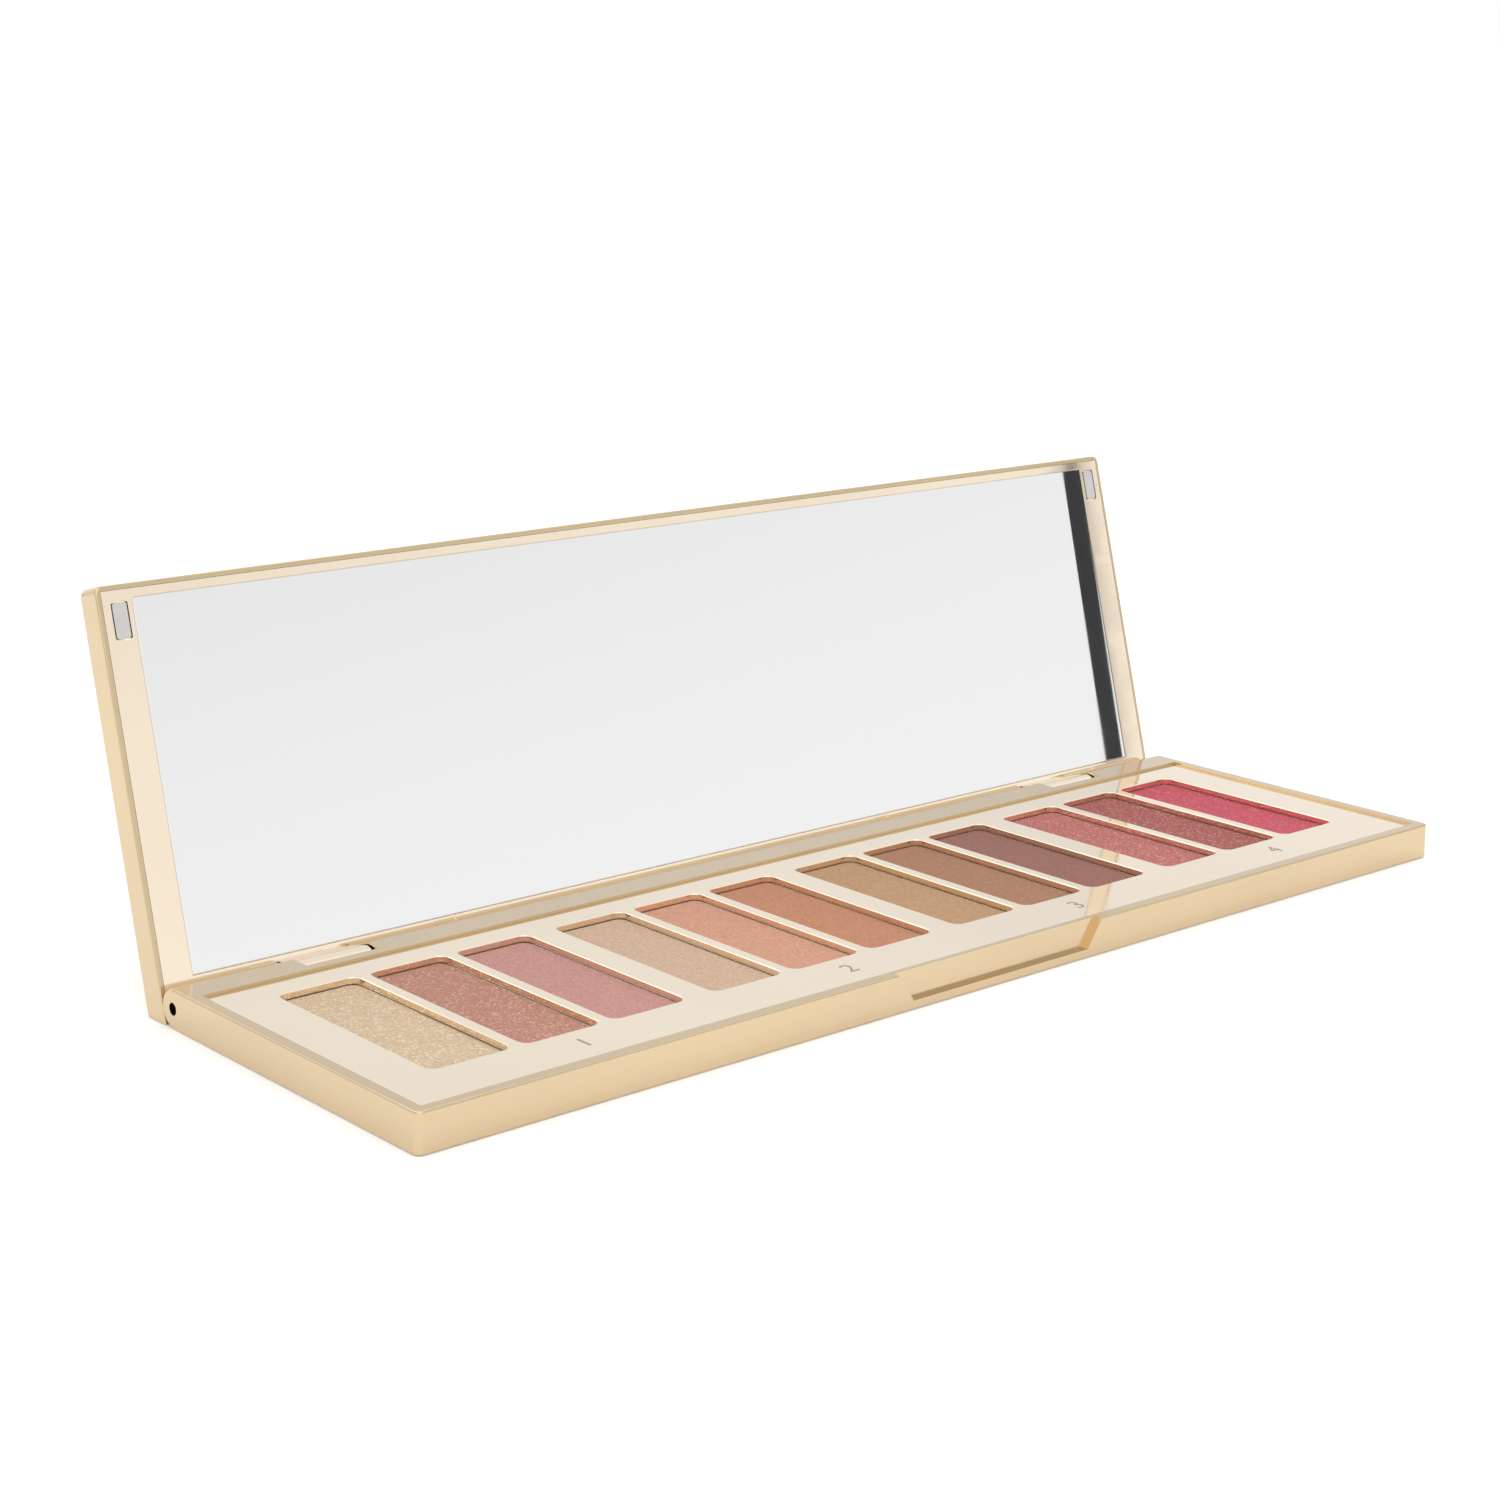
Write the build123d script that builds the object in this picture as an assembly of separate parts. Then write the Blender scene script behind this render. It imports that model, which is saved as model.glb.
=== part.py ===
from build123d import *
import os

# Eyeshadow palette. Millimetres, +Z up, front is -Y, origin at the centre of the base's bottom face.
WIDTH = 210.0
BASE_H = 5.9            # rim height
FLOOR_T = 1.2
PIN_Z = 3.0
BARREL_R = BASE_H - PIN_Z
PIN_TO_FRONT = 60.6
PIN_Y = 28.8
FRONT_Y = PIN_Y - PIN_TO_FRONT
CORNER_R = 1.2
EDGE_R = 0.35                       # softened edges of the case

NOTCH_TOP = 22.4                     # half widths of the thumb notch, above the rim and at its foot
NOTCH_LOW = 18.5
NOTCH_Z = 1.4
NOTCH_DEPTH = 1.0

RIM_W = 1.9
PLATE_T = 1.0
PLATE_TOP = 5.5
PLATE_BACK_Y = FRONT_Y + 55.8
LEDGE_W = 1.6

GROUPS = 4
PANS_PER_GROUP = 3
PITCH = 15.15
GROUP_GAP = 2.98
WINDOW = (13.2, 38.0, 1.6)          # width, depth, corner radius
WINDOW_Y = FRONT_Y + 31.3
PAN = (13.5, 38.3, 1.8)
PAN_WALL = 0.4
PAN_BOTTOM = 1.95
PAN_TOP = 4.4
WELL_GAP = 0.2
CARRIER_FLOOR = 0.6

PIN_R = 0.95
PIN_LENGTH = 36.0
PIN_RECESS = 3.0
HOLE_R = 0.95
RUNNING_R = 1.0
LUG_X = (20.5, 32.5)                # distance of a lug's two sides from the end of the palette
LUG_R = 2.6
LUG_SIDE_GAP = 0.3

LID_T = 5.1
LID_GAP = 0.15
OPEN_TILT = 15.0                    # lean of the open lid behind the vertical
LID_SKIN = 1.2
OUTER_EDGE_R = 0.7
LID_WALL = 0.8
FRAME_T = 2.4
MIRROR_T = 1.1
TAPE_T = 0.2
MIRROR_BORDER_X = 5.6
MIRROR_BORDER_TOP = 2.1
MIRROR_BORDER_LOW = 3.7
MAGNET = (2.3, 5.3, 1.2)
MAGNET_X = 3.45                     # magnet centre from the end of the palette
MAGNET_S = 55.3                     # magnet centre from the pin
MAGNET_GAP = 0.4
SPLIT_X = (14.7, 27.1)              # mould split lines beside the lugs, from the end of the palette
SPLIT_S = (2.8, 3.15)
CLIP_X = ((47.0, 51.2), (139.3, 142.7))    # clip recesses in the frame's lower border, from the left end
CLIP_S = (2.5, 3.45)
MARK_DEPTH = 0.3
BASE_MAGNET = (1.4, 5.0, 1.5)
BASE_MAGNET_X = 2.7

HALF = WIDTH / 2
ROOT = PIN_Z - BASE_H - LID_GAP     # depth of the pin axis in the lid, in front of its inner face
SEAT_Z = PLATE_TOP - PLATE_T         # ledge that carries the tray plate


def span(x, y, z):
    """Box from three (low, high) pairs."""
    size = [high - low for low, high in (x, y, z)]
    centre = [(high + low) / 2 for low, high in (x, y, z)]
    return Pos(*centre) * Box(*size)


def rounded(size, z, centre=(0, 0)):
    """Upright rounded-rectangle prism: size is width, depth and corner radius."""
    outline = RectangleRounded(size[0], size[1], size[2])
    return Pos(centre[0], centre[1], z[0]) * extrude(outline, z[1] - z[0])


def along_x(radius, x):
    """Round bar on the hinge axis."""
    bar = Rot(0, 90, 0) * Cylinder(radius, x[1] - x[0])
    return Pos((x[0] + x[1]) / 2, PIN_Y, PIN_Z) * bar


def lid_box(x, s, t):
    """Box in the shut lid: s runs from the pin to the free edge, t from the inner face outwards."""
    inner = BASE_H + LID_GAP
    return span(x, (PIN_Y - s[1], PIN_Y - s[0]), (inner + t[0], inner + t[1]))


def opened(shape):
    """Swing a piece of the shut lid back to the open position."""
    pivot = Axis((0, PIN_Y, PIN_Z), (1, 0, 0))
    return shape.rotate(pivot, -(90 + OPEN_TILT))


def write(name, shape):
    solids = shape.solids()
    export_step(solids[0] if len(solids) == 1 else Compound(solids), f"parts/{name}.step")


def window_centres():
    whole = (GROUPS * PANS_PER_GROUP - 1) * PITCH + (GROUPS - 1) * GROUP_GAP
    for index in range(GROUPS * PANS_PER_GROUP):
        yield index * PITCH + index // PANS_PER_GROUP * GROUP_GAP - whole / 2, WINDOW_Y


def both_ends(x):
    """The same span measured from the left end and from the right end."""
    return (-HALF + x[0], -HALF + x[1]), (HALF - x[1], HALF - x[0])


def base_shell():
    body = span((-HALF, HALF), (FRONT_Y, PIN_Y), (0, BASE_H))
    front = body.edges().filter_by(Axis.Z).group_by(Axis.Y)[0]
    body = fillet(front, CORNER_R)
    faces = body.faces().sort_by(Axis.Z)
    rims = faces[0].edges() + faces[-1].edges()
    body = fillet([edge for edge in rims if edge.center().Y < PIN_Y - 0.1], EDGE_R)
    barrel = along_x(BARREL_R, (-HALF, HALF))
    body += chamfer(barrel.edges().filter_by(GeomType.CIRCLE), 0.2)
    # plate seat and the well under it
    body -= span((-HALF + RIM_W, HALF - RIM_W), (FRONT_Y + RIM_W, PLATE_BACK_Y), (SEAT_Z, 7))
    inner = RIM_W + LEDGE_W
    body -= span((-HALF + inner, HALF - inner), (FRONT_Y + inner, PLATE_BACK_Y - LEDGE_W), (FLOOR_T, 7))
    # thumb notch: a scoop with slanted ends, open at the rim
    notch = Plane((0, FRONT_Y, 0), x_dir=(1, 0, 0), z_dir=(0, -1, 0))
    corners = [(-NOTCH_TOP, 7), (-NOTCH_LOW, NOTCH_Z), (NOTCH_LOW, NOTCH_Z), (NOTCH_TOP, 7)]
    outline = Polyline(*corners, close=True)
    body -= extrude(notch * make_face(outline), -NOTCH_DEPTH)
    for x in both_ends((LUG_X[0] - LUG_SIDE_GAP, LUG_X[1] + LUG_SIDE_GAP)):
        body -= span(x, (PIN_Y - LUG_R - 0.4, PIN_Y + 4), (-1, 7))
    pin_end = PIN_RECESS + PIN_LENGTH
    for x in both_ends((-1, pin_end)):
        body -= along_x(HOLE_R, x)
    for x, y in base_magnet_centres():
        body -= rounded(BASE_MAGNET[:2] + (0.3,), (SEAT_Z - BASE_MAGNET[2], SEAT_Z), (x, y))
    return body


def base_magnet_centres():
    y = PIN_Y - MAGNET_S
    return [(-HALF + BASE_MAGNET_X, y), (HALF - BASE_MAGNET_X, y)]


def tray_plate():
    gap = 0.05
    x = HALF - RIM_W - gap
    plate = span((-x, x), (FRONT_Y + RIM_W + gap, PLATE_BACK_Y - gap), (SEAT_Z, PLATE_TOP))
    for centre in window_centres():
        plate -= rounded(WINDOW, (0, 7), centre)
    top = plate.faces().sort_by(Axis.Z)[-1]
    return fillet(top.edges(), 0.2)


def pan_carrier():
    x = HALF - RIM_W - LEDGE_W - 0.1
    y = (FRONT_Y + RIM_W + LEDGE_W + 0.1, PLATE_BACK_Y - LEDGE_W - 0.1)
    body = span((-x, x), y, (FLOOR_T, SEAT_Z))
    well = (PAN[0] + WELL_GAP, PAN[1] + WELL_GAP, PAN[2])
    for centre in window_centres():
        body -= rounded(well, (FLOOR_T + CARRIER_FLOOR, 7), centre)
    return body


def pan_inside():
    return (PAN[0] - 2 * PAN_WALL, PAN[1] - 2 * PAN_WALL, PAN[2] - PAN_WALL)


def pan(centre):
    body = rounded(PAN, (PAN_BOTTOM, PAN_TOP), centre)
    return body - rounded(pan_inside(), (PAN_BOTTOM + PAN_WALL, 7), centre)


def powder(centre):
    cake = rounded(pan_inside(), (PAN_BOTTOM + PAN_WALL, PAN_TOP + 0.05), centre)
    return fillet(cake.faces().sort_by(Axis.Z)[-1].edges(), 0.25)


def glue_dots():
    dots = []
    for x, y in window_centres():
        for offset in (-10, 10):
            z = (FLOOR_T + CARRIER_FLOOR + PAN_BOTTOM) / 2
            thickness = PAN_BOTTOM - FLOOR_T - CARRIER_FLOOR
            dots.append(Pos(x, y + offset, z) * Cylinder(2.5, thickness))
    return Compound(dots)


def lid_blank(inset, t):
    """Lid outline between two depths, before its rear end is bevelled."""
    return lid_box((-HALF + inset, HALF - inset), (-4, PIN_TO_FRONT - inset), t)


def heel_cut(clearance):
    """Everything below the table when the lid is open, in the shut lid's place."""
    slab = span((-HALF - 1, HALF + 1), (PIN_Y - 20, PIN_Y + 40), (-30, clearance))
    return slab.rotate(Axis((0, PIN_Y, PIN_Z), (1, 0, 0)), 90 + OPEN_TILT)


def lid_shell():
    body = lid_blank(0, (0, LID_T)) - heel_cut(0)
    edges = body.edges().filter_by(Axis.Z).group_by(Axis.Y)[0]
    body = fillet(edges, CORNER_R)
    outer = body.faces().sort_by(Axis.Z)[-1]
    body = fillet(outer.edges(), OUTER_EDGE_R)
    inner = body.faces().sort_by(Axis.Z)[0]
    body = fillet([edge for edge in inner.edges() if edge.center().Y < PIN_Y], EDGE_R)
    cavity = lid_blank(LID_WALL, (-1, LID_T - LID_SKIN))
    return body - (cavity - heel_cut(0.8))


def mirror_frame():
    inset = LID_WALL + 0.05
    body = lid_blank(inset, (0, FRAME_T)) - heel_cut(0.9)
    standoff = lid_blank(inset, (FRAME_T, LID_T - LID_SKIN)) - heel_cut(0.9)
    hollow = (-HALF + 3, HALF - 3), (2, PIN_TO_FRONT - 3), (FRAME_T - 1, LID_T)
    body += standoff - lid_box(*hollow)
    body -= mirror_space(0.1, MIRROR_T + TAPE_T)
    for x, s in lid_magnet_centres():
        body -= magnet_block(x, s, MAGNET_GAP, MAGNET[2])
    for x in both_ends(SPLIT_X):
        body -= lid_box(x, SPLIT_S, (-1, MARK_DEPTH))
    for x in CLIP_X:
        body -= lid_box((-HALF + x[0], -HALF + x[1]), CLIP_S, (-1, MARK_DEPTH))
    for x in both_ends(LUG_X):
        neck = lid_box(x, (-2.0, LUG_R), (ROOT, 0)) + along_x(LUG_R, x)
        body += neck - heel_cut(0.1)
    for x in both_ends((LUG_X[0] - 1, LUG_X[1] + 1)):
        body -= along_x(RUNNING_R, x)
    return body


def mirror_space(gap, depth):
    x = HALF - MIRROR_BORDER_X + gap
    s = (MIRROR_BORDER_LOW - gap, PIN_TO_FRONT - MIRROR_BORDER_TOP + gap)
    return lid_box((-x, x), s, (-gap, depth))


def lid_magnet_centres():
    return [(-HALF + MAGNET_X, MAGNET_S), (HALF - MAGNET_X, MAGNET_S)]


def magnet_block(x, s, gap, depth):
    half_x, half_s = MAGNET[0] / 2 + gap / 2, MAGNET[1] / 2 + gap / 2
    block = lid_box((x - half_x, x + half_x), (s - half_s, s + half_s), (0, depth))
    return fillet(block.edges().filter_by(Axis.Z), 0.5)


def mirror():
    x = HALF - MIRROR_BORDER_X
    glass = lid_box((-x, x), (MIRROR_BORDER_LOW, PIN_TO_FRONT - MIRROR_BORDER_TOP), (0, MIRROR_T))
    return chamfer(glass.faces().sort_by(Axis.Z)[0].edges(), 0.15)


def mirror_tape():
    x = HALF - MIRROR_BORDER_X - 3
    s = (MIRROR_BORDER_LOW + 3, PIN_TO_FRONT - MIRROR_BORDER_TOP - 3)
    return lid_box((-x, x), s, (MIRROR_T, MIRROR_T + TAPE_T))


def main():
    os.makedirs("parts", exist_ok=True)
    write("base_shell", base_shell())
    write("tray_plate", tray_plate())
    write("pan_carrier", pan_carrier())
    write("pan_glue_dots", glue_dots())
    for number, centre in enumerate(window_centres(), 1):
        write(f"pan_{number:02d}", pan(centre))
        write(f"powder_{number:02d}", powder(centre))
    write("lid_shell", opened(lid_shell()))
    write("mirror_frame", opened(mirror_frame()))
    write("mirror", opened(mirror()))
    write("mirror_tape", opened(mirror_tape()))
    pins = both_ends((PIN_RECESS, PIN_RECESS + PIN_LENGTH))
    magnets = list(zip(base_magnet_centres(), lid_magnet_centres()))
    for side, x, (base_magnet, lid_magnet) in zip(("left", "right"), pins, magnets):
        write(f"hinge_pin_{side}", along_x(PIN_R, x))
        size = BASE_MAGNET[:2] + (0.3,)
        write(f"base_magnet_{side}", rounded(size, (SEAT_Z - BASE_MAGNET[2], SEAT_Z), base_magnet))
        write(f"lid_magnet_{side}", opened(magnet_block(*lid_magnet, 0, MAGNET[2])))


main()
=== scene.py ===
import bpy
import math
from mathutils import Matrix, Vector


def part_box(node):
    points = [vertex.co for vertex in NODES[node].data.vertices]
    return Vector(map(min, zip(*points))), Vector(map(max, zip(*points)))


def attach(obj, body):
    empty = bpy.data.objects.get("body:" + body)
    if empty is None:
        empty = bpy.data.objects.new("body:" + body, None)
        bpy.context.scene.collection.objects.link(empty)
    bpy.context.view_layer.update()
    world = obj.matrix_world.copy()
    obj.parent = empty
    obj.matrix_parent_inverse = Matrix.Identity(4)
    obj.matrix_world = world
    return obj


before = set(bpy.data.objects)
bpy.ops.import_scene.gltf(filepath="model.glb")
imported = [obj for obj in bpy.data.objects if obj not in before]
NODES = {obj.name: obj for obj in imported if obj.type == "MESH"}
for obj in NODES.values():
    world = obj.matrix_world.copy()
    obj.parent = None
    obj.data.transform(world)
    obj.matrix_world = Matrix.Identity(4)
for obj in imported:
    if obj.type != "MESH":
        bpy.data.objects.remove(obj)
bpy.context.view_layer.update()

MM = 0.001

# Case and powder colours, as display values
CASE = (211, 188, 152)
TRAY = (252, 233, 209)
POWDERS = [
    # colour, shimmer (0 matte to 1 foil)
    ((205, 180, 150), 0.9), ((180, 128, 110), 0.8), ((190, 140, 132), 0.0),
    ((200, 170, 145), 0.0), ((203, 150, 127), 0.0), ((187, 132, 104), 0.0),
    ((182, 145, 112), 0.0), ((165, 122, 98), 0.0), ((148, 104, 95), 0.0),
    ((180, 104, 98), 0.8), ((160, 86, 80), 0.7), ((190, 76, 92), 0.2),
]

PANS_PER_GROUP = 3
NUMERAL_SIZE = 4.4 * MM
NUMERAL_OFFSET = 0.6 * MM    # behind the middle of the strip in front of the pans
INK_THICKNESS = 0.01 * MM

# Camera: the angle, distance and focal length of the view, in metres and degrees
CAM_AZIMUTH = -41.0
CAM_ELEVATION = 11.27
CAM_DISTANCE = 0.7067
CAM_TARGET = Vector((0.1617, 0.2125, 0.0))
CAM_ROLL = 0.009
FOCAL_RATIO = 1.887          # focal length over frame width
SHIFT_Y = -0.1
SENSOR_MM = 36.0

FLOOR_REACH = 60.0
SKY = ((0.1, 1.0), (0.46, 0.8), (0.62, 1.0))      # sine of the elevation, and brightness there
LIGHTS = (
    # name, place, aim, side, power
    ("key", (-0.5, -0.7, 0.9), (0, 0, 0), 1.3, 3.4),
    ("fill", (0.9, -0.4, 0.7), (0, 0, 0.02), 1.4, 1.6),
    ("rim", (0.1, 0.9, 0.8), (0, 0, 0.03), 1.2, 2.0),
)
CARD_X = (0.0944, 0.0990)    # the stretch of the mirror that shows the dark card
CARD_SHARE = (-0.1, 1.3)     # the same up the mirror, as shares of its height
CARD_DISTANCE = 0.3


def linear(colour):
    return tuple((value / 255) ** 2.2 for value in colour) + (1.0,)


def new_material(name, **sockets):
    """A principled material with constants set on its own sockets."""
    material = bpy.data.materials.new(name)
    material.use_nodes = True
    shader = material.node_tree.nodes["Principled BSDF"]
    for socket, value in sockets.items():
        shader.inputs[socket.replace("_", " ")].default_value = value
    return material, material.node_tree, shader


def noise(tree, scale, detail=3.0, stretch=(1, 1, 1)):
    """Noise in object space, so that its grain has a real size."""
    where = tree.nodes.new("ShaderNodeTexCoord")
    mapping = tree.nodes.new("ShaderNodeMapping")
    mapping.inputs["Scale"].default_value = stretch
    grain = tree.nodes.new("ShaderNodeTexNoise")
    grain.inputs["Scale"].default_value = scale
    grain.inputs["Detail"].default_value = detail
    tree.links.new(where.outputs["Object"], mapping.inputs["Vector"])
    tree.links.new(mapping.outputs["Vector"], grain.inputs["Vector"])
    return grain.outputs["Fac"]


def cells(tree, scale):
    where = tree.nodes.new("ShaderNodeTexCoord")
    grain = tree.nodes.new("ShaderNodeTexVoronoi")
    grain.inputs["Scale"].default_value = scale
    tree.links.new(where.outputs["Object"], grain.inputs["Vector"])
    return grain


def remap(tree, value, low, high, start=0.0, end=1.0):
    node = tree.nodes.new("ShaderNodeMapRange")
    node.inputs["From Min"].default_value = start
    node.inputs["From Max"].default_value = end
    node.inputs["To Min"].default_value = low
    node.inputs["To Max"].default_value = high
    tree.links.new(value, node.inputs["Value"])
    return node.outputs["Result"]


def blend_colours(tree, factor, first, second):
    mix = tree.nodes.new("ShaderNodeMix")
    mix.data_type = "RGBA"
    tree.links.new(factor, mix.inputs["Factor"])
    mix.inputs["A"].default_value = first
    mix.inputs["B"].default_value = second
    return mix.outputs["Result"]


def bump(tree, shader, height, distance, strength=1.0):
    node = tree.nodes.new("ShaderNodeBump")
    node.inputs["Distance"].default_value = distance
    node.inputs["Strength"].default_value = strength
    tree.links.new(height, node.inputs["Height"])
    tree.links.new(node.outputs["Normal"], shader.inputs["Normal"])


def metallised(name, colour, rough_low, rough_high):
    """Vacuum-metallised plastic: a faint waviness, handling haze and fine hairlines."""
    material, tree, shader = new_material(name, Metallic=1.0, Coat_Weight=0.35, Coat_Roughness=0.05)
    light = tuple(min(1.0, value * 1.07) for value in linear(colour)[:3]) + (1.0,)
    dark = tuple(value * 0.93 for value in linear(colour)[:3]) + (1.0,)
    tone = blend_colours(tree, noise(tree, 22, 2), light, dark)
    tree.links.new(tone, shader.inputs["Base Color"])
    haze = remap(tree, noise(tree, 160, 6), rough_low, rough_high, 0.35, 0.65)
    hairlines = remap(tree, noise(tree, 40, 2, (1, 45, 45)), 0.0, 0.07, 0.6, 0.72)
    total = tree.nodes.new("ShaderNodeMath")
    tree.links.new(haze, total.inputs[0])
    tree.links.new(hairlines, total.inputs[1])
    tree.links.new(total.outputs["Value"], shader.inputs["Roughness"])
    bump(tree, shader, noise(tree, 90, 2), 0.00002, 0.35)
    return material


def plain_plastic(name, colour):
    material, tree, shader = new_material(name, Specular_IOR_Level=0.4)
    shade = tuple(value * 0.86 for value in colour[:3]) + (1.0,)
    tree.links.new(blend_colours(tree, noise(tree, 60), colour, shade), shader.inputs["Base Color"])
    tree.links.new(remap(tree, noise(tree, 300, 4), 0.4, 0.6), shader.inputs["Roughness"])
    bump(tree, shader, noise(tree, 900, 2), 0.00003, 0.5)
    return material


def metal(name, colour, rough, stretch=(1, 1, 1)):
    material, tree, shader = new_material(name, Metallic=1.0)
    shade = tuple(value * 0.85 for value in colour[:3]) + (1.0,)
    tone = blend_colours(tree, noise(tree, 400, 3, stretch), colour, shade)
    tree.links.new(tone, shader.inputs["Base Color"])
    haze = remap(tree, noise(tree, 700, 4, stretch), rough * 0.7, rough * 1.4)
    tree.links.new(haze, shader.inputs["Roughness"])
    bump(tree, shader, noise(tree, 1200, 2, stretch), 0.00001, 0.6)
    return material


def silvered_glass(name):
    material, tree, shader = new_material(name, Metallic=1.0, Base_Color=(0.87, 0.872, 0.875, 1))
    smear = remap(tree, noise(tree, 35, 5), 0.004, 0.03, 0.4, 0.7)
    tree.links.new(smear, shader.inputs["Roughness"])
    return material


def pressed_powder(name, colour, shimmer):
    """Pressed pigment: fine pressed grain with tone specks; shimmer adds bright platelets."""
    material, tree, shader = new_material(name, Sheen_Weight=0.03, Sheen_Roughness=0.6,
                                          Specular_IOR_Level=0.15)
    base = linear(colour)
    pale = tuple(min(1.0, value * 1.16) for value in base[:3]) + (1.0,)
    deep = tuple(value * 0.84 for value in base[:3]) + (1.0,)
    fine = noise(tree, 2600, 4)
    tone = blend_colours(tree, remap(tree, fine, 0, 1, 0.3, 0.7), deep, pale)
    if shimmer > 0:
        flakes = cells(tree, 3200)
        spark = remap(tree, flakes.outputs["Color"], 0.0, 1.0, 0.62, 0.95)
        bright = tuple(min(1.0, value * 1.25 + 0.22 * shimmer) for value in base[:3]) + (1.0,)
        mix = tree.nodes.new("ShaderNodeMix")
        mix.data_type = "RGBA"
        tree.links.new(spark, mix.inputs["Factor"])
        tree.links.new(tone, mix.inputs["A"])
        mix.inputs["B"].default_value = bright
        tone = mix.outputs["Result"]
        tree.links.new(remap(tree, spark, 0.15, 0.85 * shimmer + 0.1), shader.inputs["Metallic"])
        tree.links.new(remap(tree, spark, 0.62, 0.3), shader.inputs["Roughness"])
        bump(tree, shader, flakes.outputs["Distance"], 0.00006, 0.8)
    else:
        tree.links.new(remap(tree, fine, 0.75, 0.95), shader.inputs["Roughness"])
        bump(tree, shader, noise(tree, 1500, 6), 0.00006, 0.7)
    tree.links.new(tone, shader.inputs["Base Color"])
    return material


def give(node, material):
    for slot in NODES[node].material_slots:
        slot.material = material


def dress_frame():
    """Gives every CAD node its finished material."""
    case = metallised("case_gold", CASE, 0.13, 0.2)
    tray = metallised("tray_gold", TRAY, 0.05, 0.1)
    steel = metal("pin_steel", (0.2, 0.19, 0.18, 1), 0.35, (1, 12, 12))
    magnet = metal("magnet", (0.72, 0.71, 0.69, 1), 0.3)
    rim = metal("pan_metal", (0.86, 0.82, 0.76, 1), 0.22)
    carrier = plain_plastic("carrier_plastic", (0.5, 0.42, 0.33, 1))
    soft = plain_plastic("tape", (0.78, 0.77, 0.73, 1))
    finishes = {
        "base_shell": case, "lid_shell": case, "tray_plate": tray, "mirror_frame": tray,
        "mirror": silvered_glass("mirror_glass"), "pan_carrier": carrier,
        "pan_glue_dots": soft, "mirror_tape": soft,
    }
    for side in ("left", "right"):
        finishes["hinge_pin_" + side] = steel
        finishes["base_magnet_" + side] = magnet
        finishes["lid_magnet_" + side] = magnet
    for number, (colour, shimmer) in enumerate(POWDERS, 1):
        label = f"{number:02d}"
        finishes["pan_" + label] = rim
        finishes["powder_" + label] = pressed_powder("powder_" + label, colour, shimmer)
    for node, material in finishes.items():
        give(node, material)


def print_numeral(number, x, y, z, ink):
    """A thin printed numeral lying on the tray plate."""
    curve = bpy.data.curves.new(f"numeral_{number}", "FONT")
    curve.body = str(number)
    curve.size = NUMERAL_SIZE
    curve.align_x = "CENTER"
    curve.align_y = "CENTER"
    curve.extrude = INK_THICKNESS
    curve.offset = -0.015 * MM
    text = bpy.data.objects.new(f"numeral_source_{number}", curve)
    bpy.context.collection.objects.link(text)
    bpy.context.view_layer.update()
    mesh = bpy.data.meshes.new_from_object(text)
    mesh.transform(Matrix.Translation((x, y, z)))
    bpy.data.objects.remove(text)
    piece = bpy.data.objects.new(f"tray_numeral_{number}", mesh)
    bpy.context.collection.objects.link(piece)
    mesh.materials.clear()
    mesh.materials.append(ink)
    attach(piece, "base")


def print_numerals():
    ink, tree, shader = new_material("numeral_ink", Metallic=0.3, Specular_IOR_Level=0.3)
    tone = blend_colours(tree, noise(tree, 1500), (0.33, 0.27, 0.21, 1), (0.42, 0.34, 0.27, 1))
    tree.links.new(tone, shader.inputs["Base Color"])
    tree.links.new(remap(tree, noise(tree, 900), 0.4, 0.6), shader.inputs["Roughness"])
    plate_low, plate_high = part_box("tray_plate")
    for group, middle_pan in enumerate(range(2, len(POWDERS), PANS_PER_GROUP), 1):
        low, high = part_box(f"pan_{middle_pan:02d}")
        y = (plate_low[1] + low[1]) / 2 + NUMERAL_OFFSET
        print_numeral(group, (low[0] + high[0]) / 2, y, plate_high[2] + 1.2 * INK_THICKNESS, ink)


def panel(name, corners, material):
    """A flat four-cornered card."""
    mesh = bpy.data.meshes.new(name)
    mesh.from_pydata(corners, [], [(0, 1, 2, 3)])
    card = bpy.data.objects.new(name, mesh)
    bpy.context.collection.objects.link(card)
    mesh.materials.append(material)
    return card


def stage():
    """Pale floor, and a soft white surround that is a little greyer where the mirror looks."""
    pale, _, _ = new_material("floor_white", Base_Color=(0.97, 0.97, 0.97, 1), Roughness=0.9,
                              Emission_Color=(1, 1, 1, 1), Emission_Strength=0.12)
    corners = ((-1, -1), (1, -1), (1, 1), (-1, 1))
    panel("floor", [(x * FLOOR_REACH, y * FLOOR_REACH, -0.1 * MM) for x, y in corners], pale)
    world = bpy.data.worlds.new("studio")
    bpy.context.scene.world = world
    world.use_nodes = True
    tree = world.node_tree
    background = tree.nodes["Background"]
    where = tree.nodes.new("ShaderNodeTexCoord")
    parts = tree.nodes.new("ShaderNodeSeparateXYZ")
    tree.links.new(where.outputs["Generated"], parts.inputs["Vector"])
    sky = tree.nodes.new("ShaderNodeValToRGB")
    sky.color_ramp.interpolation = "EASE"
    sky.color_ramp.elements[0].position = SKY[0][0]
    sky.color_ramp.elements[1].position = SKY[-1][0]
    sky.color_ramp.elements.new(SKY[1][0])
    for stop, (_, grey) in zip(sky.color_ramp.elements, SKY):
        stop.color = (grey, grey, grey, 1)
    tree.links.new(parts.outputs["Z"], sky.inputs["Fac"])
    tree.links.new(sky.outputs["Color"], background.inputs["Color"])


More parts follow.
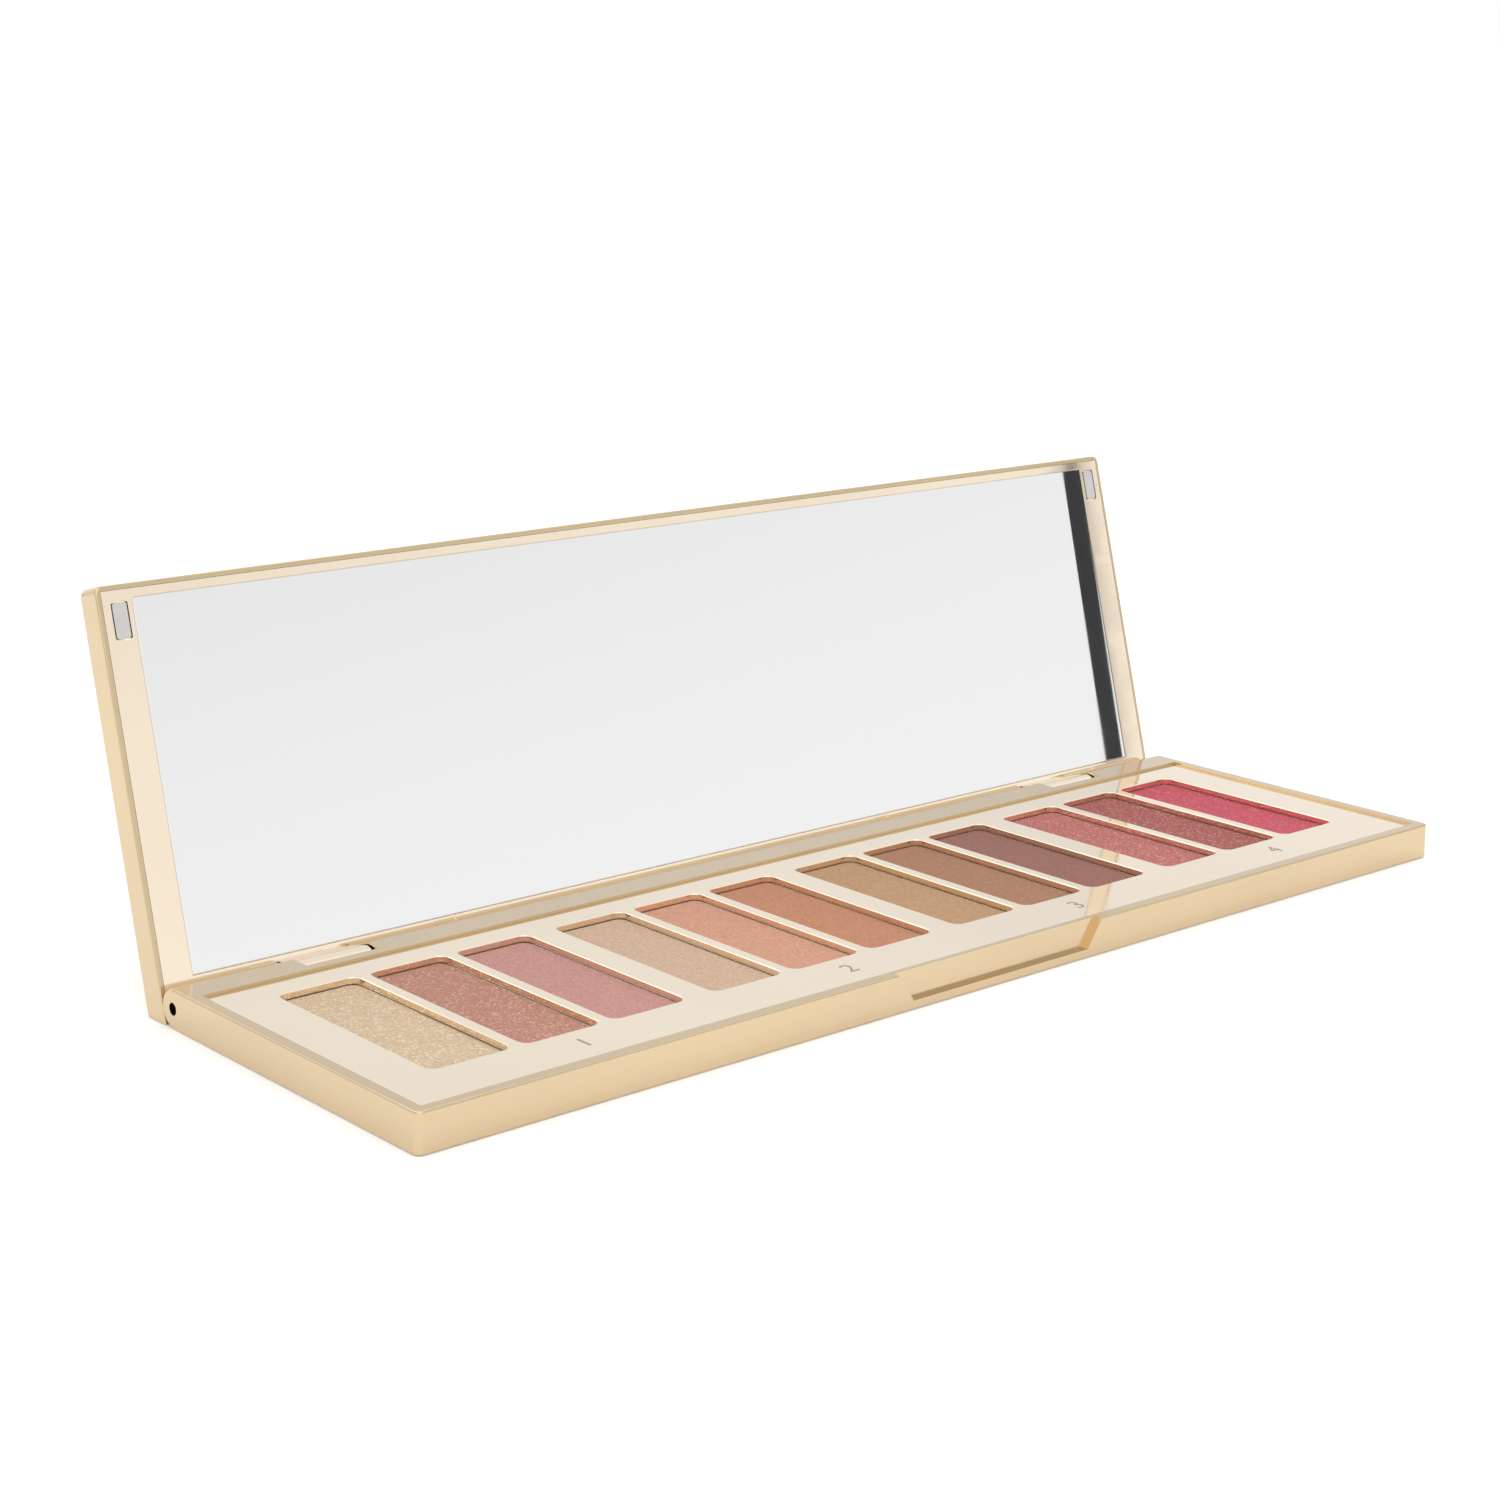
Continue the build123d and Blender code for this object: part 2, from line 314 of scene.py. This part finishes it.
def dark_card():
    """A black card out of shot, placed where the mirror's right-hand edge reflects it."""
    low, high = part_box("mirror")
    span = high - low
    normal = Vector((0, -span[2], span[1])).normalized()
    eye = view_place()
    foot = Vector((0, low[1], low[2]))
    image = eye - 2 * (eye - foot).dot(normal) * normal
    corners = []
    left, right = CARD_X
    foot_share, top_share = CARD_SHARE
    outline = ((left, foot_share), (right, foot_share), (right, top_share), (left, top_share))
    for x, share in outline:
        point = Vector((x, low[1] + share * span[1], low[2] + share * span[2]))
        ray = (point - image).normalized()
        corners.append(point + ray * CARD_DISTANCE)
    black, _, _ = new_material("card_black", Base_Color=(0.012, 0.012, 0.014, 1), Roughness=0.7)
    card = panel("dark_card", corners, black)
    card.visible_camera = False
    card.visible_shadow = False
    card.visible_diffuse = False


def view_direction():
    """From the object back towards the camera."""
    azimuth, elevation = math.radians(CAM_AZIMUTH), math.radians(CAM_ELEVATION)
    return Vector((
        math.sin(azimuth) * math.cos(elevation),
        -math.cos(azimuth) * math.cos(elevation),
        math.sin(elevation),
    ))


def view_place():
    return CAM_TARGET + view_direction() * CAM_DISTANCE


def area_light(name, place, aim, size, power):
    data = bpy.data.lights.new(name, "AREA")
    data.size = size
    data.energy = power
    lamp = bpy.data.objects.new(name, data)
    lamp.location = place
    lamp.rotation_euler = (Vector(aim) - Vector(place)).to_track_quat("-Z", "Y").to_euler()
    bpy.context.collection.objects.link(lamp)
    return lamp


def lights():
    for name, place, aim, size, power in LIGHTS:
        lamp = area_light(name, place, aim, size, power)
        lamp.visible_glossy = name != "fill"      # the fill's outline would show in the mirror


def camera():
    back = view_direction()
    right = (-back).cross(Vector((0, 0, 1))).normalized()
    up = right.cross(-back)
    turn, lean = math.cos(CAM_ROLL), math.sin(CAM_ROLL)
    right, up = turn * right + lean * up, turn * up - lean * right
    data = bpy.data.cameras.new("camera")
    data.sensor_width = SENSOR_MM
    data.lens = SENSOR_MM * FOCAL_RATIO
    data.shift_y = SHIFT_Y
    data.clip_start = 0.01
    eye = bpy.data.objects.new("camera", data)
    eye.matrix_world = Matrix.Translation(view_place()) @ Matrix((right, up, back)).transposed().to_4x4()
    bpy.context.collection.objects.link(eye)
    bpy.context.scene.camera = eye


dress_frame()
print_numerals()
stage()
dark_card()
lights()
camera()
bpy.context.scene.view_settings.view_transform = "Standard"

bpy.context.view_layer.update()
